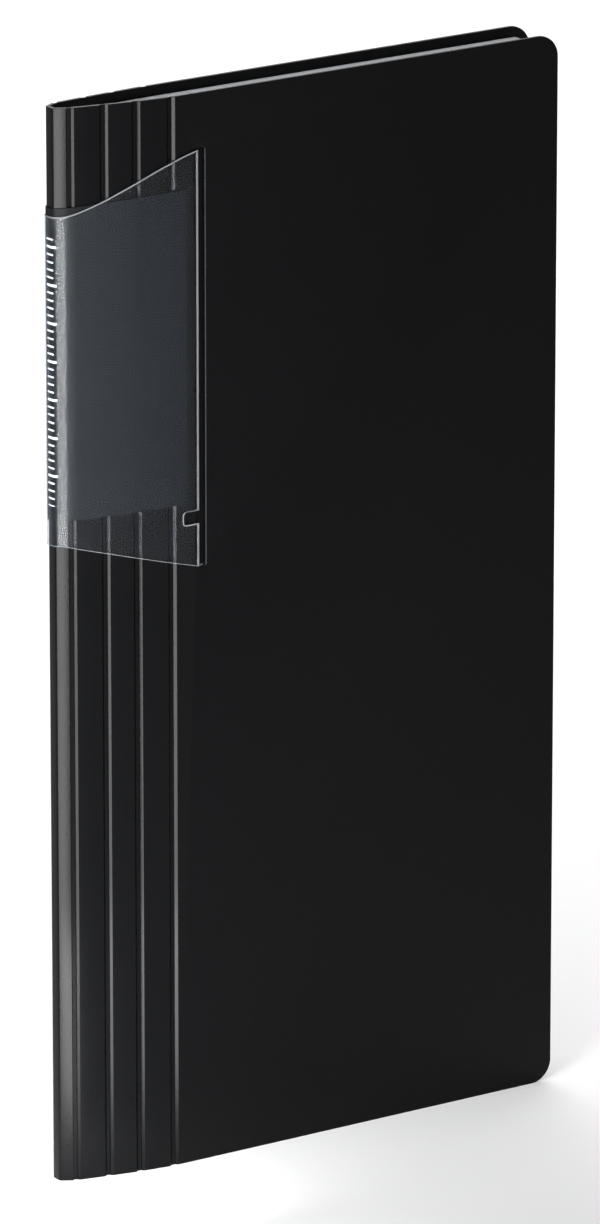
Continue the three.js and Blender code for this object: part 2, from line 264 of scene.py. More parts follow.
def corner_at(side, i, distance):
    """The corner over a fold in plan, of a line at a distance outside the cover's inner face."""
    before, after = outs[side][i], outs[side][i + 1]
    return folds[side][i] + (before + after) / (1 + before.dot(after)) * distance


def turn_selected(angle, centre):
    """Turns what is selected in edit mode about a vertical line."""
    bpy.ops.transform.rotate(value=-angle, orient_axis="Z", center_override=(centre.x, centre.y, 0))


def draw_sheet(name, line, thickness, low, high):
    """A standing sheet along a line in plan: an end face extruded from corner to corner, mitred at bends."""
    steps = [b - a for a, b in zip(line, line[1:])]
    bends = [angle_between(a, b) for a, b in zip(steps, steps[1:])] + [0]
    bpy.ops.object.select_all(action="DESELECT")
    bpy.ops.mesh.primitive_plane_add(size=1, location=(0, 0, 0), enter_editmode=True)
    bpy.ops.transform.rotate(value=math.pi / 2, orient_axis="X", center_override=(0, 0, 0))
    bpy.ops.transform.resize(value=(thickness, 1, high - low), center_override=(0, 0, 0))
    bpy.ops.transform.translate(value=(line[0].x, line[0].y, (low + high) / 2))
    turn_selected(angle_between(Vector((0, 1)), steps[0]), line[0])
    half_before = 0
    for step, bend, place in zip(steps, bends, line[1:]):
        bpy.ops.mesh.extrude_region_move(TRANSFORM_OT_translate={"value": (step.x, step.y, 0)})
        if abs(half_before) + abs(bend) > STRAIGHT:
            stretch = math.cos(half_before) / math.cos(bend / 2)
            turn_selected(half_before + bend / 2, place)
            bpy.ops.transform.resize(value=(stretch, stretch, 1), center_override=(place.x, place.y, 0))
        half_before = bend / 2
    bpy.ops.mesh.select_all(action="SELECT")
    bpy.ops.mesh.normals_make_consistent(inside=False)
    bpy.ops.object.mode_set(mode="OBJECT")
    piece = bpy.context.object
    piece.name = piece.data.name = name
    return piece


def take_up(piece):
    """Makes a piece the only one that is selected."""
    bpy.ops.object.select_all(action="DESELECT")
    bpy.context.view_layer.objects.active = piece
    piece.select_set(True)


def edges_where(piece, chosen):
    """The edges of a piece whose two ends pass a test."""
    corners = piece.data.vertices
    return {edge.key for edge in piece.data.edges if chosen(*(corners[i].co for i in edge.vertices))}


def upright_at(piece, place):
    """The standing edges of a piece at a place in plan."""
    def chosen(a, b):
        return all((v.xy - place).length < HAIR for v in (a, b)) and abs(a.z - b.z) > HAIR
    return edges_where(piece, chosen)


def select_edges(piece, chosen):
    """Enters edit mode with only the chosen edges selected."""
    take_up(piece)
    bpy.ops.object.mode_set(mode="EDIT")
    bpy.ops.mesh.select_mode(type="EDGE")
    bpy.ops.mesh.select_all(action="DESELECT")
    bpy.ops.object.mode_set(mode="OBJECT")
    for edge in piece.data.edges:
        edge.select = edge.key in chosen
    bpy.ops.object.mode_set(mode="EDIT")


def bevel_edges(piece, chosen, width, segments=1):
    """Bevels the chosen edges."""
    select_edges(piece, chosen)
    bpy.ops.mesh.bevel(offset=width, offset_type="OFFSET", segments=segments, profile=0.5)
    bpy.ops.object.mode_set(mode="OBJECT")


def modify(piece, kind, **settings):
    """Adds a modifier and applies it."""
    take_up(piece)
    modifier = piece.modifiers.new(kind.lower(), kind)
    for name, value in settings.items():
        setattr(modifier, name, value)
    bpy.ops.object.modifier_apply(modifier=modifier.name)


def punch(piece, place, size, rounded, radius):
    """Punches a hole with a block, whose edges that pass a test are rounded first."""
    bpy.ops.object.select_all(action="DESELECT")
    bpy.ops.mesh.primitive_cube_add(size=1, location=place)
    cutter = bpy.context.object
    cutter.scale = size
    bpy.ops.object.transform_apply(location=True, rotation=True, scale=True)
    bevel_edges(cutter, edges_where(cutter, rounded), radius, segments=6)
    modify(piece, "BOOLEAN", object=cutter, operation="DIFFERENCE", solver="EXACT")
    bpy.data.objects.remove(cutter)


def finish_piece(piece, material, crisp_from=CRISP_FROM):
    """Smooth shading with crisp edges, and its material."""
    take_up(piece)
    bpy.ops.object.shade_smooth_by_angle(angle=crisp_from)
    piece.data.materials.clear()
    piece.data.materials.append(material)


def bend_over_fold(piece, i):
    """Bakes a piece's transform into its mesh."""
    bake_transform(piece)


def soften_edges(piece):
    """Rounds every sharp edge of a panel a little."""
    modify(piece, "BEVEL", width=EDGE_ROUNDING, segments=2, limit_method="ANGLE", angle_limit=ROUNDED_FROM)


def round_rims(piece):
    """Rounds the cut edges at a panel's top and bottom, but not where both sides meet at mid spine."""
    corners = piece.data.vertices
    level = [face for face in piece.data.polygons if abs(face.normal.z) > LEVEL_FACE]
    borders = [key for face in level for key in face.edge_keys]
    rims = {key for key in borders if borders.count(key) == 1}
    rims = {key for key in rims if any(abs(corners[i].co.y - middle_of_spine.y) > HAIR for i in key)}
    bevel_edges(piece, rims, EDGE_ROUNDING, segments=2)


def press_wall(piece, place, out):
    """The sloped wall of a groove at the start of a panel. It is pressed to one heading at every groove."""
    bevel_edges(piece, upright_at(piece, place + out * SHEET), GROOVE_CHAMFER)
    slope = LIT_WALL_HEADING - abs(math.atan2(out.x, abs(out.y)))
    lift = out * GROOVE_CHAMFER * (1 - math.tan(slope))
    select_edges(piece, upright_at(piece, place + out * (SHEET - GROOVE_CHAMFER)))
    bpy.ops.transform.translate(value=(lift.x, lift.y, 0))
    bpy.ops.object.mode_set(mode="OBJECT")


def new_effect(name, inputs, outputs):
    """A node group for an effect that several finishes share, with its input and output sockets."""
    group = bpy.data.node_groups.new(name, "ShaderNodeTree")
    for socket, value in inputs.items():
        kind = "NodeSocketFloat" if isinstance(value, float) else "NodeSocketColor"
        group.interface.new_socket(name=socket, in_out="INPUT", socket_type=kind).default_value = value
    for socket, kind in outputs.items():
        group.interface.new_socket(name=socket, in_out="OUTPUT", socket_type=kind)
    return group, node(group, "NodeGroupInput").outputs, node(group, "NodeGroupOutput").inputs


# Embossed grain of moulded or pressed sheet, for every plastic sheet of the album
grain, given, result = new_effect(
    "embossed_grain",
    {"Scale": 1500.0, "Depth": 0.02 * MM, "Roughness": 0.5, "Roughness Spread": 0.08},
    {"Roughness": "NodeSocketFloat", "Normal": "NodeSocketVector"},
)
where = node(grain, "ShaderNodeTexCoord")
cells = node(grain, "ShaderNodeTexVoronoi", feature="SMOOTH_F1", Smoothness=0.6)
waves = node(grain, "ShaderNodeTexNoise", Scale=60.0, Detail=3.0)
bump = node(grain, "ShaderNodeBump", Strength=1.0)
spread = node(grain, "ShaderNodeMath", operation="MULTIPLY_ADD")
centred = node(grain, "ShaderNodeMath", operation="SUBTRACT")
centred.inputs[1].default_value = 0.5
grain.links.new(where.outputs["Object"], cells.inputs["Vector"])
grain.links.new(where.outputs["Object"], waves.inputs["Vector"])
grain.links.new(given["Scale"], cells.inputs["Scale"])
grain.links.new(cells.outputs["Distance"], bump.inputs["Height"])
grain.links.new(given["Depth"], bump.inputs["Distance"])
grain.links.new(waves.outputs["Fac"], centred.inputs[0])
grain.links.new(centred.outputs[0], spread.inputs[0])
grain.links.new(given["Roughness Spread"], spread.inputs[1])
grain.links.new(given["Roughness"], spread.inputs[2])
grain.links.new(spread.outputs[0], result["Roughness"])
grain.links.new(bump.outputs["Normal"], result["Normal"])

# Slightly uneven tone of dyed plastic and card. Its cloud is given as well.
uneven_tone, given, result = new_effect(
    "uneven_tone",
    {"Scale": 20.0, "Detail": 3.0, "Darker": (0.01, 0.01, 0.01, 1), "Lighter": (0.02, 0.02, 0.02, 1)},
    {"Color": "NodeSocketColor", "Cloud": "NodeSocketFloat"},
)
where = node(uneven_tone, "ShaderNodeTexCoord")
cloud = node(uneven_tone, "ShaderNodeTexNoise")
tone = node(uneven_tone, "ShaderNodeMix", data_type="RGBA")
uneven_tone.links.new(where.outputs["Object"], cloud.inputs["Vector"])
uneven_tone.links.new(given["Scale"], cloud.inputs["Scale"])
uneven_tone.links.new(given["Detail"], cloud.inputs["Detail"])
uneven_tone.links.new(cloud.outputs["Fac"], tone.inputs[0])
uneven_tone.links.new(given["Darker"], tone.inputs[6])
uneven_tone.links.new(given["Lighter"], tone.inputs[7])
uneven_tone.links.new(tone.outputs[2], result["Color"])
uneven_tone.links.new(cloud.outputs["Fac"], result["Cloud"])


def with_effect(tree, effect, shader, feeds, **values):
    """Places an effect in a material with its own values, to feed the sockets named. Gives its outputs."""
    placed = node(tree, "ShaderNodeGroup", node_tree=effect, **values)
    for output, socket in feeds.items():
        tree.links.new(placed.outputs[output], shader.inputs[socket])
    return placed.outputs


def grained(tree, shader, **values):
    """Puts the embossed grain on a shader."""
    with_effect(tree, grain, shader, {"Roughness": "Roughness", "Normal": "Normal"}, **values)


black_sheet, tree, shader = new_material("black_polypropylene")
grained(tree, shader, Scale=1600.0, Depth=0.012 * MM, Roughness=0.28, Roughness_Spread=0.05)
with_effect(
    tree, uneven_tone, shader, {"Color": "Base Color"}, Scale=18.0, Detail=4.0,
    Darker=(0.0011, 0.0012, 0.0014, 1), Lighter=(0.0019, 0.0020, 0.0023, 1),
)
shader.inputs["Specular IOR Level"].default_value = 0.115

slit_x = {side: corner_at(side, len(CREASES), SHEET).x + SLIT_FROM_CREASE for side in SIDES}


def on_slit_rim(corner):
    """True on the rim of the slit in the outer face of the panel that is being made."""
    return (abs(corner.y - outer_face) < HAIR and abs(corner.x - slit_x[side]) < SLIT_WIDTH / 2 + HAIR
            and abs(corner.z - SLIT_MIDDLE) < SLIT_RUN / 2 + HAIR)


for side, turn in SIDES.items():
    fold, way, out = folds[side], ways[side], outs[side]
    facet_end = fold[1] - way[1] * WEB_REACH["before"]
    facet_rim = facet_end + out[1] * SHEET
    half = SHEET / 2
    line = [middle_of_spine + out[0] * half, corner_at(side, 0, half), facet_end + out[1] * half]
    piece = draw_sheet(f"{side}_spine_and_facet", line, SHEET, 0, HEIGHT)
    bevel_edges(piece, upright_at(piece, facet_rim), FACET_CHAMFER)
    bevel_edges(piece, upright_at(piece, facet_rim - way[1] * FACET_CHAMFER), EDGE_ROUNDING, segments=2)
    bevel_edges(piece, upright_at(piece, corner_at(side, 0, SHEET)), SPINE_CORNER_ROUNDING, segments=4)
    round_rims(piece)
    finish_piece(piece, black_sheet, COVER_CRISP_FROM)
    bend_over_fold(piece, 0)
    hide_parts(f"{side}_facet", *(["spine_face"] if side == "front" else []))
    for i in STRIPS:
        start = fold[i] + way[i + 1] * WEB_REACH["after"]
        end = fold[i + 1] - way[i + 1] * WEB_REACH["before"]
        line = [place + out[i + 1] * half for place in (start, end)]
        piece = draw_sheet(f"{side}_hinge_strip_{i}", line, SHEET, 0, HEIGHT)
        bevel_edges(piece, upright_at(piece, end + out[i + 1] * SHEET), GROOVE_CHAMFER)
        press_wall(piece, start, out[i + 1])
        soften_edges(piece)
        finish_piece(piece, black_sheet, COVER_CRISP_FROM)
        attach(piece, f"{side}_strip_{i}")
        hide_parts(f"{side}_strip_{i}")

    # Cover panel with rounded fore corners and the long slit that the label sleeve passes through
    start = fold[-1] + way[-1] * WEB_REACH["after"]
    middle = start + out[-1] * half
    outer_face = middle.y + turn * half
    fore_edge = packed_box[1].x
    piece = draw_sheet(f"{side}_panel", [middle, Vector((fore_edge, middle.y))], SHEET, 0, HEIGHT)
    fore_corners = edges_where(
        piece, lambda a, b: abs(a.y - b.y) > half and min(a.x, b.x) > fore_edge - HAIR,
    )
    bevel_edges(piece, fore_corners, FORE_CORNER_RADIUS, segments=12)
    punch(
        piece, place=(slit_x[side], middle.y, SLIT_MIDDLE), size=(SLIT_WIDTH, SLIT_CUT_DEPTH, SLIT_RUN),
        rounded=lambda a, b: abs(a.y - b.y) > SHEET, radius=SLIT_END_ROUNDING,
    )
    slit_rim = edges_where(piece, lambda a, b: on_slit_rim(a) and on_slit_rim(b))
    bevel_edges(piece, slit_rim, SLIT_RIM, segments=4)
    press_wall(piece, start, out[-1])
    soften_edges(piece)
    finish_piece(piece, black_sheet, COVER_CRISP_FROM)
    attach(piece, f"{side}_cover")
    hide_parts(f"{side}_cover")

# Crease webs: the thin floors of the pressed grooves, about 0.3 mm of the same sheet left at the inside face.
# They are the living hinges between the panels that they join.
WEB_THICKNESS = 0.31 * MM
WEB_DEPTH = 0.02 * MM
WEB_OVERLAP = 0.1 * MM
WEB_BELOW_RIM = EDGE_ROUNDING / 2
WEB_STEPS = 8
for side in SIDES:
    for i in CREASES:
        before, after = ways[side][i], ways[side][i + 1]
        sag = WEB_OVERLAP * math.sin(abs(angle_between(before, after)))
        lift = outward(before + after, side).normalized() * (WEB_DEPTH + WEB_THICKNESS / 2 + sag)
        middle = folds[side][i] + lift
        start = middle - before * (WEB_REACH["before"] + WEB_OVERLAP)
        end = middle + after * (WEB_REACH["after"] + WEB_OVERLAP)
        line = [start.lerp(end, step / WEB_STEPS) for step in range(WEB_STEPS + 1)]
        piece = draw_sheet(
            f"{side}_crease_web_{i}", line, WEB_THICKNESS, WEB_BELOW_RIM, HEIGHT - WEB_BELOW_RIM,
        )
        finish_piece(piece, black_sheet, COVER_CRISP_FROM)
        bend_over_fold(piece, i)

# Label card: a strip of dark uncoated card folded round the spine under the clear sleeve. It carries a plain
# printed tick scale on the spine face, and it follows every crease that it lies over.
CARD_THICKNESS = 0.25 * MM
CARD_CLEARANCE = 0.15 * MM
CARD_DISTANCE = SHEET + CARD_CLEARANCE + CARD_THICKNESS / 2
CARD_TOP = HEIGHT - 26 * MM
CARD_HEIGHT = 82 * MM
CARD_RISE = {"top": 1.6 * MM, "bottom": 0.8 * MM}
CARD_EASE = [(0.8 * MM, 1.2 * MM), (1.5 * MM, 4.0 * MM)] + 3 * [(1 * MM, 1 * MM)]
CARD_PAST_CREASE = 4.5 * MM
CARD_FIBRE_DEPTH = 0.015 * MM
EASE_STEPS = 8
WRAP_STEP = 1.6 * MM

# Printed scale, in millimetres: a tick every 2 mm up the spine face, and each fifth one longer and bolder
TICK_PITCH = {"short": 2.0, "long": 10.0}
TICK_HALF_LINE = {"short": 0.2, "long": 0.3}
TICK_ACROSS = {"short": (-1.7, 0.7), "long": (-2.3, 0.7)}
SCALE_BELOW_CARD_TOP = (78, 7)
SCALE_DEPTH = 1.5
PRINT_COLOUR = (0.85, 0.86, 0.87, 1)


def eased_corners(points, eases):
    """A line whose inner corners are eased, each from one reach before its corner to another one after it."""
    line = [points[0]]
    for before, corner, after, (short, long) in zip(points, points[1:], points[2:], eases):
        start = corner - heading(before, corner) * short
        end = corner + heading(corner, after) * long
        for step in range(EASE_STEPS + 1):
            share = step / EASE_STEPS
            line.append(start.lerp(corner, share).lerp(corner.lerp(end, share), share))
    return line + [points[-1]]


def divided(line):
    """The same line with extra points along its long stretches."""
    made = [line[0]]
    for a, b in zip(line, line[1:]):
        count = max(1, round((b - a).length / WRAP_STEP))
        made += [a.lerp(b, i / count) for i in range(1, count + 1)]
    return made


def wrap_parts(side, distance, eases, last_points, last_eases=()):
    """Lines in plan of the parts of a sheet wrapped over one side, each over the fold of its number."""
    start = middle_of_spine + outs[side][0] * distance
    for i, fold in enumerate(folds[side]):
        corner = corner_at(side, i, distance)
        if i < len(CREASES):
            end = (fold + folds[side][i + 1]) / 2 + outs[side][i + 1] * distance
            yield i, divided(eased_corners([start, corner, end], [eases[i]]))
            start = end
        else:
            yield i, divided(eased_corners([start, corner, *last_points], [eases[i], *last_eases]))


dark_card, tree, shader = new_material("dark_card")
tones = with_effect(
    tree, uneven_tone, shader, {}, Scale=2600.0, Detail=3.0,
    Darker=(0.0018, 0.0023, 0.0032, 1), Lighter=(0.0030, 0.0038, 0.0050, 1),
)
card_bump = node(tree, "ShaderNodeBump", Strength=0.5, Distance=CARD_FIBRE_DEPTH)
tree.links.new(tones["Cloud"], card_bump.inputs["Height"])
tree.links.new(card_bump.outputs["Normal"], shader.inputs["Normal"])
shader.inputs["Roughness"].default_value = 0.52
shader.inputs["Specular IOR Level"].default_value = 0.11


def number(operation, *values):
    """A Math node on sockets or numbers."""
    made = node(tree, "ShaderNodeMath", operation=operation)
    for socket, value in zip(made.inputs, values):
        if isinstance(value, (int, float)):
            socket.default_value = value
        else:
            tree.links.new(value, socket)
    return made.outputs[0]


def within(value, low, high):
    """1 where a value lies between two limits."""
    return number("MULTIPLY", number("GREATER_THAN", value, low), number("LESS_THAN", value, high))


where = node(tree, "ShaderNodeTexCoord")
axes = node(tree, "ShaderNodeSeparateXYZ")
tree.links.new(where.outputs["Object"], axes.inputs[0])
height_mm = number("MULTIPLY", axes.outputs["Z"], 1 / MM)
across_mm = number("MULTIPLY_ADD", axes.outputs["Y"], 1 / MM, -middle_of_spine.y / MM)
depth_mm = number("MULTIPLY", axes.outputs["X"], 1 / MM)
ticks = []
for kind, pitch in TICK_PITCH.items():
    on_line = number("LESS_THAN", number("PINGPONG", height_mm, pitch / 2), TICK_HALF_LINE[kind])
    ticks.append(number("MULTIPLY", on_line, within(across_mm, *TICK_ACROSS[kind])))
on_spine = number("LESS_THAN", depth_mm, middle_of_spine.x / MM + SCALE_DEPTH)
on_scale = within(height_mm, *(CARD_TOP / MM - below for below in SCALE_BELOW_CARD_TOP))
printed = number("MULTIPLY", number("MULTIPLY", number("MAXIMUM", *ticks), on_spine), on_scale)
card_colour = node(tree, "ShaderNodeMix", data_type="RGBA")
card_colour.inputs[7].default_value = PRINT_COLOUR
tree.links.new(printed, card_colour.inputs[0])
tree.links.new(tones["Color"], card_colour.inputs[6])
tree.links.new(card_colour.outputs[2], shader.inputs["Base Color"])

for side, turn in SIDES.items():
    card_end = folds[side][-1] + Vector((CARD_PAST_CREASE, turn * CARD_DISTANCE))
    for i, line in wrap_parts(side, CARD_DISTANCE, CARD_EASE, [card_end]):
        piece = draw_sheet(f"{side}_label_card_{i}", line, CARD_THICKNESS, CARD_TOP - CARD_HEIGHT, CARD_TOP)
        for vertex in piece.data.vertices:
            share = (vertex.co.x - packed_box[0].x) / (card_end.x - packed_box[0].x)
            end = "top" if vertex.co.z > CARD_TOP - CARD_HEIGHT / 2 else "bottom"
            vertex.co.z += share * CARD_RISE[end]
        finish_piece(piece, dark_card)
        bend_over_fold(piece, i)
        if side == "front" and i == 0:
            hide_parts("label_card")

# Label sleeve: clear glossy film wrapped over the card. It is lower on the spine than at the covers, where
# its ends pass through the slits and are tucked behind. Its upper and lower edges carry a narrow lip, and a
# finger notch with a rim is punched beside each slit. The lips and the notch rim are grey as a painted
# highlight, the turn into each slit is lighter grey as a painted highlight, and the tucked end is painted
# near-black as painted shade.
FILM = 0.15 * MM
FILM_CLEARANCE = 0.55 * MM
FILM_DISTANCE = SHEET + FILM_CLEARANCE + FILM / 2
FILM_EASE = [(1.4 * MM, 1.4 * MM), (1.2 * MM, 2.6 * MM)] + 3 * [(1 * MM, 1 * MM)]
FILM_IN_SLIT = 0.2 * MM
SLIT_EASE = [(0.05 * MM, 0.05 * MM), (0.15 * MM, 0.2 * MM), (0.2 * MM, 0.2 * MM)]
TUCK = 8.0 * MM
TUCK_GAP = 0.15 * MM
# Span of the film's turn into the slit, which is painted lighter as a painted highlight
BEND_SPAN = 0.6 * MM
SLEEVE_MIDDLE = HEIGHT - 71.7 * MM
UPPER_EDGE = {"spine_half": 43.6 * MM, "slit_half": 57.0 * MM, "bow": 0.5}
LOWER_EDGE = {"spine_half": 42.8 * MM, "slit_half": 52.8 * MM, "bow": 0.0}
FLARE_FROM = 2.0 * MM
UPPER_BEAD = 0.35 * MM
LOWER_BEAD = 0.15 * MM
BEAD_SHARE = 0.9
FILM_EDGE_FACE = 0.85
NOTCH_WALL_FACE = 0.5
NOTCH_LENGTH = 5.0 * MM
NOTCH_HEIGHT = 3.9 * MM
NOTCH_MIDDLE = HEIGHT - 111.3 * MM
NOTCH_ROUNDING = 1.1 * MM
NOTCH_CUT_PAST_FOLD = 1.4 * MM
NOTCH_CUT_DEPTH = 3.6 * MM
NOTCH_FROM_FOLD = 0.3 * MM

# Ripple and slight haze of clear film
ripple, given, result = new_effect(
    "film_ripple",
    {"Depth": 0.3 * MM, "Least Haze": 0.2, "Most Haze": 0.27},
    {"Roughness": "NodeSocketFloat", "Normal": "NodeSocketVector"},
)
where = node(ripple, "ShaderNodeTexCoord")
waves = node(ripple, "ShaderNodeTexNoise", Scale=45.0, Detail=2.0)
bump = node(ripple, "ShaderNodeBump", Strength=0.25)
haze = node(ripple, "ShaderNodeMapRange")
ripple.links.new(where.outputs["Object"], waves.inputs["Vector"])
ripple.links.new(waves.outputs["Fac"], bump.inputs["Height"])
ripple.links.new(given["Depth"], bump.inputs["Distance"])
ripple.links.new(waves.outputs["Fac"], haze.inputs["Value"])
ripple.links.new(given["Least Haze"], haze.inputs["To Min"])
ripple.links.new(given["Most Haze"], haze.inputs["To Max"])
ripple.links.new(haze.outputs["Result"], result["Roughness"])
ripple.links.new(bump.outputs["Normal"], result["Normal"])


def clear_plastic(name, ior, **ripple_values):
    """Clear film: slightly rippled, a little hazy, and open to the light of the lamps."""
    material, tree, shader = new_material(name)
    shader.inputs["Base Color"].default_value = (0.90, 0.95, 1.0, 1)
    shader.inputs["Transmission Weight"].default_value = 1.0
    shader.inputs["IOR"].default_value = ior
    with_effect(tree, ripple, shader, {"Roughness": "Roughness", "Normal": "Normal"}, **ripple_values)
    path = node(tree, "ShaderNodeLightPath")
    let_through = node(tree, "ShaderNodeBsdfTransparent", Color=(0.9, 0.91, 0.92, 1))
    mix = node(tree, "ShaderNodeMixShader")
    tree.links.new(path.outputs["Is Shadow Ray"], mix.inputs[0])
    tree.links.new(shader.outputs[0], mix.inputs[1])
    tree.links.new(let_through.outputs[0], mix.inputs[2])
    tree.links.new(mix.outputs[0], tree.nodes["Material Output"].inputs["Surface"])
    return material


def solid_plastic(name, colour, specular=0.5, **grain_values):
    """Plastic of one colour with the embossed grain, as small mouldings look. Film rims and bends made with
    it carry a painted highlight, and film tucks painted shade.
    """
    material, tree, shader = new_material(name)
    shader.inputs["Base Color"].default_value = (*colour, 1)
    shader.inputs["Specular IOR Level"].default_value = specular
    grained(tree, shader, **grain_values)
    return material


clear_film = clear_plastic("clear_film", 1.2, Depth=0.3 * MM, Least_Haze=0.20, Most_Haze=0.27)
# Grey of the sleeve's edge lips and notch rim: a painted highlight for the light that the film's cut edges
# catch
film_rim_painted_highlight = solid_plastic(
    "film_rim_painted_highlight", (0.14, 0.145, 0.15), specular=0.15, Scale=700.0, Depth=0.006 * MM, Roughness=0.35,
)
# Lighter grey of the film's turn into each slit: a painted highlight where the bend catches the light
film_bend_painted_highlight = solid_plastic(
    "film_bend_painted_highlight", (0.12, 0.125, 0.13), specular=0.3, Scale=700.0, Depth=0.004 * MM, Roughness=0.35,
)
# Near-black of the film in the slit and behind the cover: painted shade of the cover
film_tuck_painted_shade = solid_plastic(
    "film_tuck_painted_shade", (0.003, 0.003, 0.0035), specular=0.05, Scale=700.0, Depth=0.004 * MM, Roughness=0.4,
)


def dress_faces(piece, material, chosen):
    """Gives the faces of a piece that pass a test a material of their own."""
    piece.data.materials.append(material)
    for face in piece.data.polygons:
        if chosen(face):
            face.material_index = len(piece.data.materials) - 1


def select_faces(piece, chosen):
    """Enters edit mode with the faces selected that pass a test."""
    select_edges(piece, ())
    bpy.ops.mesh.select_mode(type="FACE")
    bpy.ops.object.mode_set(mode="OBJECT")
    for face in piece.data.polygons:
        face.select = bool(chosen(face))
    bpy.ops.object.mode_set(mode="EDIT")


def flare(x, spine_half, slit_half, bow):
    """Half height of the film at a distance from the spine. The bow eases both ends of the slope."""
    share = min(1, max(0, (x - FLARE_FROM) / (pass_x - packed_box[0].x - FLARE_FROM)))
    eased = share * share * (3 - 2 * share)
    return spine_half + (slit_half - spine_half) * ((1 - bow) * share + bow * eased)


def in_notch(place):
    """True within the finger notch of the side that is being made."""
    return (pass_x - NOTCH_LENGTH - HAIR < place.x < pass_x - NOTCH_FROM_FOLD
            and abs(place.y - outer_y) < FILM and abs(place.z - NOTCH_MIDDLE) < NOTCH_HEIGHT / 2 + HAIR)


def in_bead(place):
    """True on the beads, which are grey as a painted highlight: along the sleeve's upper and lower edges, and
    round the notch.
    """
    x, rise = place.x - packed_box[0].x, place.z - SLEEVE_MIDDLE
    on_upper = rise > flare(x, **UPPER_EDGE) - BEAD_SHARE * UPPER_BEAD
    on_lower = rise < BEAD_SHARE * LOWER_BEAD - flare(x, **LOWER_EDGE)
    return on_upper or on_lower or in_notch(place)


def in_bend(place):
    """True on the line where the film turns into the slit, which is painted lighter as a painted highlight.
    """
    return place.x > pass_x - BEND_SPAN and abs(place.y - outer_y) < 2 * FILM


def in_slit(place):
    """True on the part of the film that lies in the slit and behind the cover, which is painted near-black as
    painted shade of the cover.
    """
    return place.x > pass_x - BEND_SPAN and abs(place.y - outer_y) > 2 * FILM


for side, turn in SIDES.items():
    pass_x = slit_x[side] - SLIT_WIDTH / 2 + FILM_IN_SLIT
    outer_y = folds[side][-1].y + turn * FILM_DISTANCE
    inner_y = folds[side][-1].y - turn * (TUCK_GAP + FILM / 2)
    ends = [
        Vector((pass_x - BEND_SPAN, outer_y)),
        Vector((pass_x, outer_y)),
        Vector((pass_x, inner_y)),
        Vector((pass_x + TUCK, inner_y)),
    ]
    for i, line in wrap_parts(side, FILM_DISTANCE, FILM_EASE, ends, SLIT_EASE):
        piece = draw_sheet(f"{side}_label_sleeve_{i}", line, FILM, 0, HEIGHT)
        for vertex in piece.data.vertices:
            x = vertex.co.x - packed_box[0].x
            if vertex.co.z > HEIGHT / 2:
                vertex.co.z = SLEEVE_MIDDLE + flare(x, **UPPER_EDGE) - UPPER_BEAD
            else:
                vertex.co.z = SLEEVE_MIDDLE + LOWER_BEAD - flare(x, **LOWER_EDGE)
        if i == len(CREASES):
            left, right = pass_x - NOTCH_LENGTH, pass_x + NOTCH_CUT_PAST_FOLD
            punch(
                piece, place=((left + right) / 2, outer_y, NOTCH_MIDDLE),
                size=(right - left, NOTCH_CUT_DEPTH, NOTCH_HEIGHT),
                rounded=lambda a, b: abs(a.y - b.y) > HAIR and max(a.x, b.x) < left + HAIR,
                radius=NOTCH_ROUNDING,
            )
        for upward, bead in ((1, UPPER_BEAD), (-1, LOWER_BEAD)):
            select_faces(
                piece, lambda face: face.normal.z * upward > FILM_EDGE_FACE and not in_notch(face.center),
            )
            bpy.ops.mesh.extrude_region_move(TRANSFORM_OT_translate={"value": (0, 0, upward * bead)})
            bpy.ops.object.mode_set(mode="OBJECT")
        if i == len(CREASES):
            select_faces(
                piece, lambda face: abs(face.normal.y) < NOTCH_WALL_FACE and in_notch(face.center),
            )
            bpy.ops.mesh.extrude_region_shrink_fatten(TRANSFORM_OT_shrink_fatten={"value": UPPER_BEAD})
            bpy.ops.object.mode_set(mode="OBJECT")
        finish_piece(piece, clear_film)
        # Lips and notch rim: painted highlight
        dress_faces(piece, film_rim_painted_highlight, lambda face: in_bead(face.center))
        if i == len(CREASES):
            # Turn into the slit: painted highlight
            dress_faces(piece, film_bend_painted_highlight, lambda face: in_bend(face.center))
            # Film in the slit and behind the cover: painted shade
            dress_faces(piece, film_tuck_painted_shade, lambda face: in_slit(face.center))
        bend_over_fold(piece, i)
        if side == "front" and i == 0:
            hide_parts("label_sleeve")

# Leaves: fifteen pale polypropylene sheets in two groups, each bent from its root on the binding strip to its
# place in the stack. A clear film is welded to both faces in a grid of two by three card pockets.
LEAF_SHEET = 0.2 * MM
LEAF_BEND_STEPS = 20
BEND_BEFORE_POCKETS = 0.5 * MM
POCKETS = (2, 3)
POCKET_FILM = 0.08 * MM
POCKET_RISE = 0.08 * MM
WELD = 0.5 * MM
WELD_SLOPE = 0.35 * MM
WELD_GAP = 0.02 * MM
MOUTH = 1.2 * MM
FLAT_FACE = 0.99
LEAVES = [name for name in sorted(frame["bodies"]) if name.startswith("leaf_")]

leaf_plastic, tree, shader = new_material("pale_leaf_plastic")
grained(tree, shader, Scale=1400.0, Depth=0.008 * MM, Roughness=0.46, Roughness_Spread=0.08)
with_effect(
    tree, uneven_tone, shader, {"Color": "Base Color"}, Scale=25.0, Detail=3.0,
    Darker=(0.52, 0.53, 0.545, 1), Lighter=(0.58, 0.59, 0.60, 1),
)
pocket_clear = clear_plastic("pocket_clear", 1.45, Depth=0.2 * MM, Least_Haze=0.06, Most_Haze=0.12)
# Pale colour of the pocket films' edge and sloped faces: a painted highlight for the light that thin film
# edges catch
film_edge_painted_highlight = solid_plastic("film_edge_painted_highlight", (0.74, 0.77, 0.79), Scale=900.0, Depth=0.004 * MM, Roughness=0.25)


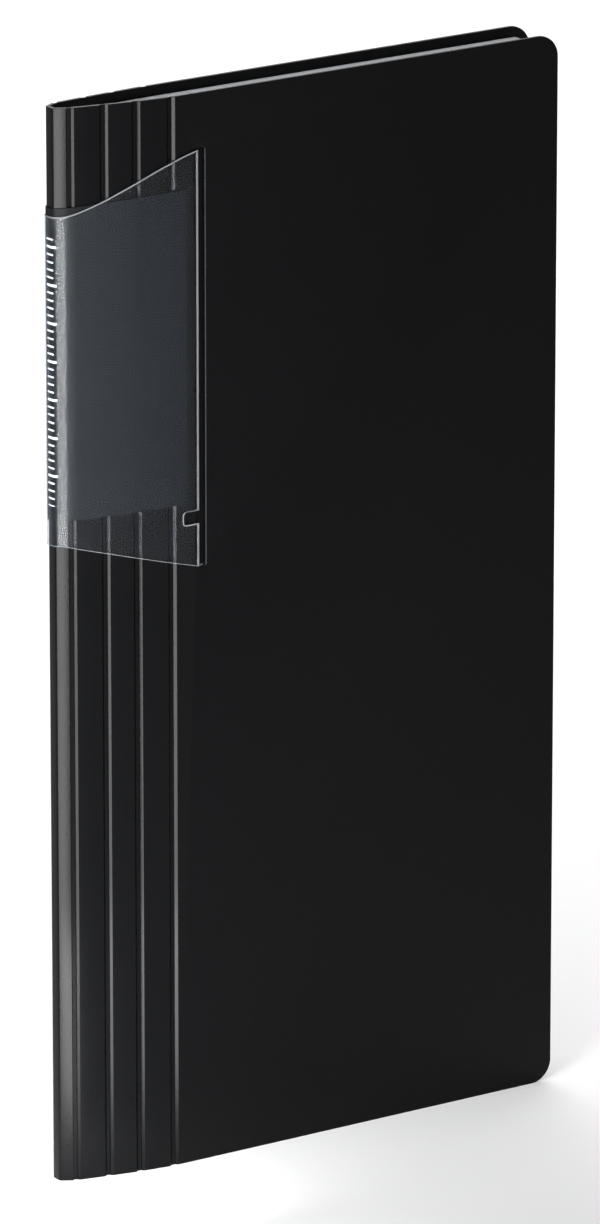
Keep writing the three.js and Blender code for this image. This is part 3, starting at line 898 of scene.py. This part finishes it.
def pocket_film():
    """The film of one leaf face on the XZ plane, raised towards -Y: welded seams, pockets and mouths."""
    low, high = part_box("leaf_01_front_pockets")
    bpy.ops.object.select_all(action="DESELECT")
    bpy.ops.mesh.primitive_grid_add(x_subdivisions=POCKETS[0], y_subdivisions=POCKETS[1], size=1)
    film = bpy.context.object
    film.scale = (high.x - low.x, high.z - low.z, 1)
    film.rotation_euler = (math.pi / 2, 0, 0)
    film.location = ((low.x + high.x) / 2, 0, (low.z + high.z) / 2)
    bpy.ops.object.transform_apply(location=True, rotation=True, scale=True)
    bpy.ops.object.mode_set(mode="EDIT")
    bpy.ops.mesh.select_mode(type="FACE")
    bpy.ops.mesh.select_all(action="SELECT")
    bpy.ops.mesh.inset(use_individual=True, thickness=WELD)
    bpy.ops.mesh.inset(use_individual=True, thickness=WELD_SLOPE)
    bpy.ops.transform.translate(value=(0, -POCKET_RISE, 0))
    pitch = (high.z - low.z) / POCKETS[1]
    mouths = [low.z + (row + 1) * pitch - WELD - WELD_SLOPE - MOUTH for row in range(POCKETS[1])]
    for place in mouths:
        bpy.ops.mesh.select_all(action="SELECT")
        bpy.ops.mesh.bisect(plane_co=(0, 0, place), plane_no=(0, 0, 1))
    bpy.ops.object.mode_set(mode="OBJECT")
    for face in film.data.polygons:
        raised = abs(face.center.y + POCKET_RISE) < HAIR
        face.select = raised and any(0 < face.center.z - place < MOUTH for place in mouths)
    bpy.ops.object.mode_set(mode="EDIT")
    bpy.ops.mesh.delete(type="FACE")
    bpy.ops.object.mode_set(mode="OBJECT")
    modify(film, "SOLIDIFY", thickness=POCKET_FILM, offset=1)
    return film


def leaf_line(name, leaf_y):
    """Line in plan of a leaf, with its smooth bend from the root to the flat part."""
    root = joint_place[f"{name}_fold"]
    bend = Vector((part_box(f"{name}_front_pockets")[0].x - BEND_BEFORE_POCKETS, leaf_y)) - root
    line = []
    for step in range(LEAF_BEND_STEPS + 1):
        share = step / LEAF_BEND_STEPS
        eased = share * share * (3 - 2 * share)
        line.append(root + Vector((bend.x * share, bend.y * eased)))
    return line + [Vector((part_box(f"{name}_sheet")[1].x, leaf_y))]


first_film = pocket_film()
for name in LEAVES:
    leaf_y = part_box(f"{name}_front_pockets")[1].y + WELD_GAP + LEAF_SHEET / 2
    low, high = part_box(f"{name}_sheet")
    sheet = draw_sheet(f"{name}_base_sheet", leaf_line(name, leaf_y), LEAF_SHEET, low.z, high.z)
    finish_piece(sheet, leaf_plastic)
    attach(sheet, name)
    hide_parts(f"{name}_sheet")
    for side, turn in SIDES.items():
        film = first_film.copy()
        film.data = first_film.data.copy()
        bpy.context.collection.objects.link(film)
        film.name = film.data.name = f"{name}_{side}_film"
        film.data.transform(Matrix.Diagonal((1, -turn, 1, 1)))
        if turn > 0:
            film.data.flip_normals()
        film.data.transform(Matrix.Translation((0, leaf_y + turn * (LEAF_SHEET / 2 + WELD_GAP), 0)))
        finish_piece(film, pocket_clear)
        # Edge and sloped faces of the film: painted highlight
        dress_faces(film, film_edge_painted_highlight, lambda face: abs(face.normal.y) < FLAT_FACE)
        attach(film, name)
        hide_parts(f"{name}_{side}_pockets")
bpy.data.objects.remove(first_film)

# Binding strip: a plain strip of dark moulded plastic in the spine channel, which carries the roots of all
# leaves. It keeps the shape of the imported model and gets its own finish.
binding_plastic = solid_plastic(
    "binding_plastic", (0.02, 0.0205, 0.022), Scale=1200.0, Depth=0.01 * MM, Roughness=0.5,
)
binding = frame["nodes"]["binding_strip"]
binding.data.materials.clear()
binding.data.materials.append(binding_plastic)
